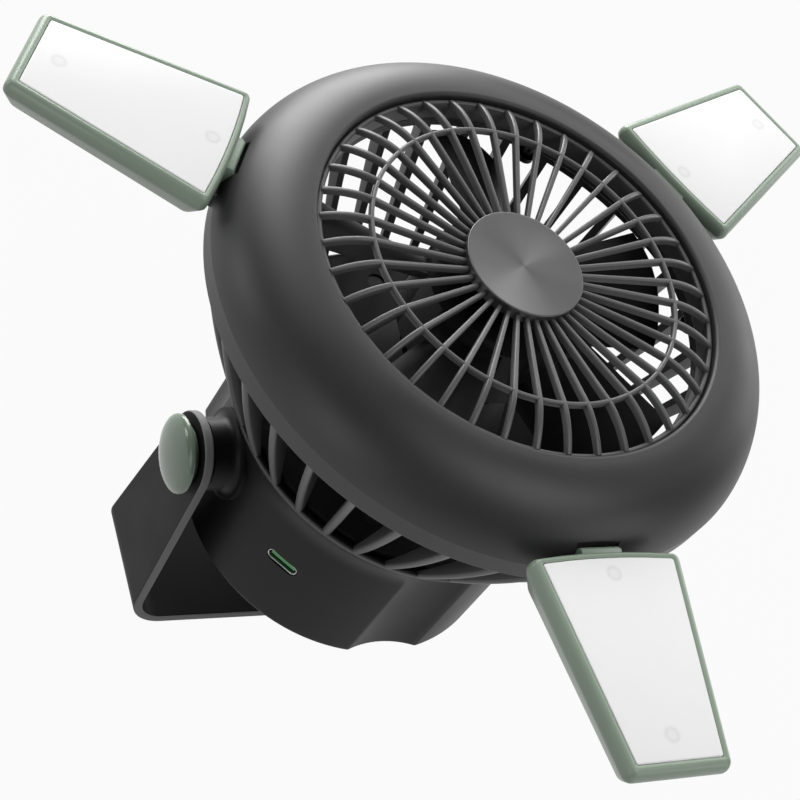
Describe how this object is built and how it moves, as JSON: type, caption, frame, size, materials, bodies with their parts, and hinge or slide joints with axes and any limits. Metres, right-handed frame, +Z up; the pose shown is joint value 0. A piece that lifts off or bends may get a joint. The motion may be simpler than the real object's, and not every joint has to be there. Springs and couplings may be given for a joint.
{
  "type": "portable fan",
  "caption": "Camping fan with a domed ring and spoked grille, vented cowl over a round battery barrel, fold-out light wings at the ring's edge and a tilting U-shaped stand.",
  "frame": {"origin": "centre of the underside of the stand's base", "axes": "+Z up along the fan's axis with the stand straight, +X along the stand's pivots, one light along -Y"},
  "size_m": [0.2214, 0.1922, 0.1412],
  "materials": {
    "graphite_shell": "satin moulded plastic with a fine texture",
    "graphite_grille": "satin moulded plastic",
    "hub_satin": "spun satin lacquer",
    "stand_steel": "fine powder coat",
    "sage_plastic": "soft satin",
    "diffuser_white": "milky satin",
    "black_plastic": "satin",
    "button_plastic": "soft satin",
    "zinc_steel": "zinc plated",
    "bright_steel": "bright",
    "motor_steel": "drawn",
    "magnet": "sintered",
    "cell_wrap": "shrink film",
    "circuit_board": "solder mask",
    "light_board": "white solder mask",
    "switch_plastic": "moulded",
    "washer_nylon": "plain",
    "insert_brass": "knurled",
    "port_green": "moulded"
  },
  "bodies": {
    "stand": {"stand_bracket": "stand_steel"},
    "head": {"front_ring": "graphite_shell", "front_grille": "graphite_grille", "hub_cap": "hub_satin", "rear_cowl": "graphite_shell", "battery_housing": "graphite_shell", "bottom_cover": "graphite_shell", "motor_plate": "black_plastic", "battery_holder": "black_plastic", "shell_screws": "zinc_steel", "cover_screws": "zinc_steel", "plate_screws": "zinc_steel", "motor_screws": "zinc_steel", "board_screws": "zinc_steel", "motor_can": "motor_steel", "rear_bearing": "bright_steel", "front_bearing": "bright_steel", "battery_cells": "cell_wrap", "main_board": "circuit_board", "port_board": "circuit_board", "tact_switches": "switch_plastic", "usb_port": "bright_steel", "port_tongue": "port_green", "pivot_bolt_left": "bright_steel", "friction_washer_left": "washer_nylon", "pivot_insert_left": "insert_brass", "pivot_cap_left": "sage_plastic", "pivot_bolt_right": "bright_steel", "friction_washer_right": "washer_nylon", "pivot_insert_right": "insert_brass", "pivot_cap_right": "sage_plastic", "hinge_pin_front": "bright_steel", "hinge_pin_right": "bright_steel", "hinge_pin_left": "bright_steel"},
    "fan_wheel": {"impeller": "black_plastic", "motor_shaft": "bright_steel", "motor_rotor": "magnet"},
    "fan_push": {"fan_button": "button_plastic"},
    "light_push": {"light_button": "button_plastic"},
    "front_light": {"wing_shell_front": "sage_plastic", "wing_diffuser_front": "diffuser_white", "wing_board_front": "light_board", "wing_screws_front": "zinc_steel"},
    "right_light": {"wing_shell_right": "sage_plastic", "wing_diffuser_right": "diffuser_white", "wing_board_right": "light_board", "wing_screws_right": "zinc_steel"},
    "left_light": {"wing_shell_left": "sage_plastic", "wing_diffuser_left": "diffuser_white", "wing_board_left": "light_board", "wing_screws_left": "zinc_steel"}
  },
  "joints": [
    {"name": "stand_tilt", "type": "hinge", "parent": "stand", "child": "head", "pos_m": [0, 0, 0.059], "axis": [1, 0, 0], "range_deg": [-90, 90]},
    {"name": "fan_spin", "type": "hinge", "parent": "head", "child": "fan_wheel", "pos_m": [0, 0, 0.1235], "axis": [0, 0, 1], "continuous": true},
    {"name": "front_light_fold", "type": "hinge", "parent": "head", "child": "front_light", "pos_m": [0, -0.0708, 0.1232], "axis": [1, 0, 0], "range_deg": [0, 90]},
    {"name": "right_light_fold", "type": "hinge", "parent": "head", "child": "right_light", "pos_m": [0.06131, 0.0354, 0.1232], "axis": [-0.5, 0.866, 0], "range_deg": [0, 90]},
    {"name": "left_light_fold", "type": "hinge", "parent": "head", "child": "left_light", "pos_m": [-0.06131, 0.0354, 0.1232], "axis": [-0.5, -0.866, 0], "range_deg": [0, 90]},
    {"name": "fan_press", "type": "slide", "parent": "head", "child": "fan_push", "axis": [0, -1, 0], "range_m": [0, 0.001], "stiffness_N_per_m": 600, "springref_m": -0.001},
    {"name": "light_press", "type": "slide", "parent": "head", "child": "light_push", "axis": [0, -1, 0], "range_m": [0, 0.001], "stiffness_N_per_m": 600, "springref_m": -0.001}
  ]
}
